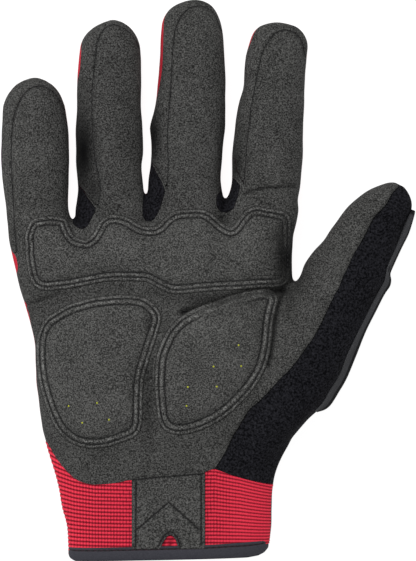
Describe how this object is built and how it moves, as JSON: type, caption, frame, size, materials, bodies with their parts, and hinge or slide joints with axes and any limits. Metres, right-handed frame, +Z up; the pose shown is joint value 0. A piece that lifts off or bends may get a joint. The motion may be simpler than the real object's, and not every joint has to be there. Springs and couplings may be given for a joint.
{
  "type": "impact work glove",
  "caption": "Right-hand work glove with stitched suede palm pads, a ribbed elastic cuff with a tab, and moulded rubber guards on the back, lying palm up.",
  "frame": {"origin": "under the middle of the glove's box, on the surface that it lies on", "axes": "+Y from the cuff to the fingertips, +X towards the thumb, +Z up out of the palm"},
  "size_m": [0.1852, 0.2502, 0.0348],
  "materials": {
    "grey_suede": "napped synthetic suede, heathered grey",
    "pad_suede": "napped synthetic suede over foam, stitched",
    "side_suede": "napped synthetic suede, in shade at the finger sides",
    "black_suede": "black synthetic suede",
    "red_stretch": "fine stretch knit",
    "red_elastic": "ribbed elastic",
    "slate_cloth": "dark plain cloth",
    "guard_rubber": "matt moulded thermoplastic rubber"
  },
  "bodies": {
    "root": {"palm_panel": "grey_suede", "back_panel": "red_stretch", "little_side": "side_suede", "ring_side": "side_suede", "middle_side": "side_suede", "index_side": "side_suede", "web_gusset_little_ring": "black_suede", "web_gusset_ring_middle": "black_suede", "web_gusset_middle_index": "black_suede", "thumb_panel": "grey_suede", "thumb_band": "black_suede", "thumb_back": "black_suede", "knuckle_pad": "pad_suede", "heel_pad": "pad_suede", "thenar_pad": "pad_suede", "cuff_band": "red_elastic", "cuff_back": "slate_cloth", "cuff_tab": "grey_suede", "cuff_binding": "slate_cloth", "knuckle_guard": "guard_rubber", "little_guard_near": "guard_rubber", "little_guard_far": "guard_rubber", "ring_guard_near": "guard_rubber", "ring_guard_far": "guard_rubber", "middle_guard_near": "guard_rubber", "middle_guard_far": "guard_rubber", "index_guard_near": "guard_rubber", "index_guard_far": "guard_rubber", "thumb_guard": "guard_rubber"}
  },
  "joints": []
}
